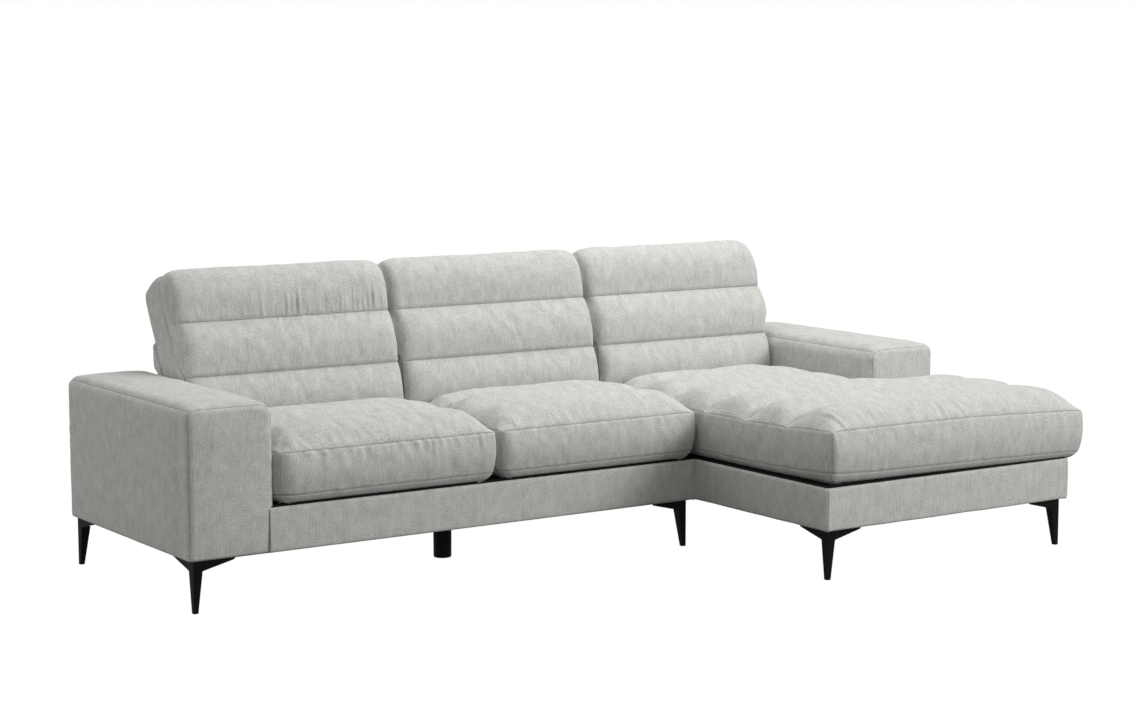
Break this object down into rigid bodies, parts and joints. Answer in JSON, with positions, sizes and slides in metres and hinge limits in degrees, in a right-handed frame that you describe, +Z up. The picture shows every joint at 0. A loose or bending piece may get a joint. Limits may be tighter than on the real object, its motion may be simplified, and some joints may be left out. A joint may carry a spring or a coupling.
{
  "type": "sectional sofa",
  "caption": "Chaise sectional sofa with channelled seats, box arms, slim wing legs and back units that tilt forward on ratchet hinges.",
  "frame": {"origin": "on the floor, under the middle of the sofa's overall box", "axes": "+X to the right seen from the front, +Y to the rear, +Z up; the front faces -Y and the chaise is on the +X side"},
  "size_m": [2.79, 1.531, 0.9],
  "materials": {
    "chenille": "ribbed chenille",
    "deck_cloth": "black felt",
    "dust_cloth": "black non-woven",
    "webbing": "elastic webbing",
    "pine": "sawn pine",
    "plywood": "raw plywood",
    "spring_steel": "oiled wire",
    "zinc_steel": "zinc plated",
    "hinge_steel": "stamped steel",
    "black_metal": "matt black powder coat",
    "black_plastic": "matt"
  },
  "bodies": {
    "root": {"sofa_front_rail": "pine", "sofa_rear_rail": "pine", "sofa_side_rails": "pine", "sofa_spring_rail": "pine", "chaise_front_rail": "pine", "chaise_rear_rail": "pine", "chaise_side_rails": "pine", "chaise_step_rail": "pine", "cross_rails": "pine", "corner_blocks": "pine", "back_ribs": "plywood", "hinge_beams": "pine", "sofa_springs": "spring_steel", "chaise_springs": "spring_steel", "spring_clips": "zinc_steel", "sofa_deck_cloth": "deck_cloth", "chaise_deck_cloth": "deck_cloth", "sofa_dust_cloth": "dust_cloth", "chaise_dust_cloth": "dust_cloth", "sofa_front_cover": "chenille", "sofa_end_cover": "chenille", "sofa_rear_cover": "chenille", "chaise_front_cover": "chenille", "chaise_left_cover": "chenille", "chaise_right_cover": "chenille", "chaise_rear_cover": "chenille", "left_arm_frame": "pine", "right_arm_frame": "pine", "left_arm_cover": "chenille", "right_arm_cover": "chenille", "frame_bolts": "zinc_steel", "sofa_bolster": "chenille", "chaise_bolster": "chenille", "sofa_legs": "black_metal", "chaise_legs": "black_metal", "leg_glides": "black_plastic", "leg_screws": "zinc_steel", "support_leg": "black_plastic", "left_seat_cushion": "chenille", "middle_seat_cushion": "chenille", "chaise_cushion": "chenille", "hinge_brackets": "hinge_steel", "hinge_pawls": "hinge_steel", "hinge_pins": "zinc_steel", "hinge_screws": "zinc_steel"},
    "left_back": {"left_back_pad": "chenille", "left_back_cover": "chenille", "left_back_frame": "plywood", "left_back_webbing": "webbing", "left_back_arms": "hinge_steel"},
    "middle_back": {"middle_back_pad": "chenille", "middle_back_cover": "chenille", "middle_back_frame": "plywood", "middle_back_webbing": "webbing", "middle_back_arms": "hinge_steel"},
    "right_back": {"right_back_pad": "chenille", "right_back_cover": "chenille", "right_back_frame": "plywood", "right_back_webbing": "webbing", "right_back_arms": "hinge_steel"}
  },
  "joints": [
    {"name": "left_back_tilt", "type": "hinge", "parent": "root", "child": "left_back", "pos_m": [0, 0.5041, 0.4], "axis": [1, 0, 0], "range_deg": [0, 12]},
    {"name": "middle_back_tilt", "type": "hinge", "parent": "root", "child": "middle_back", "pos_m": [0, 0.5041, 0.4], "axis": [1, 0, 0], "range_deg": [0, 12]},
    {"name": "right_back_tilt", "type": "hinge", "parent": "root", "child": "right_back", "pos_m": [0, 0.5041, 0.4], "axis": [1, 0, 0], "range_deg": [0, 12]}
  ]
}
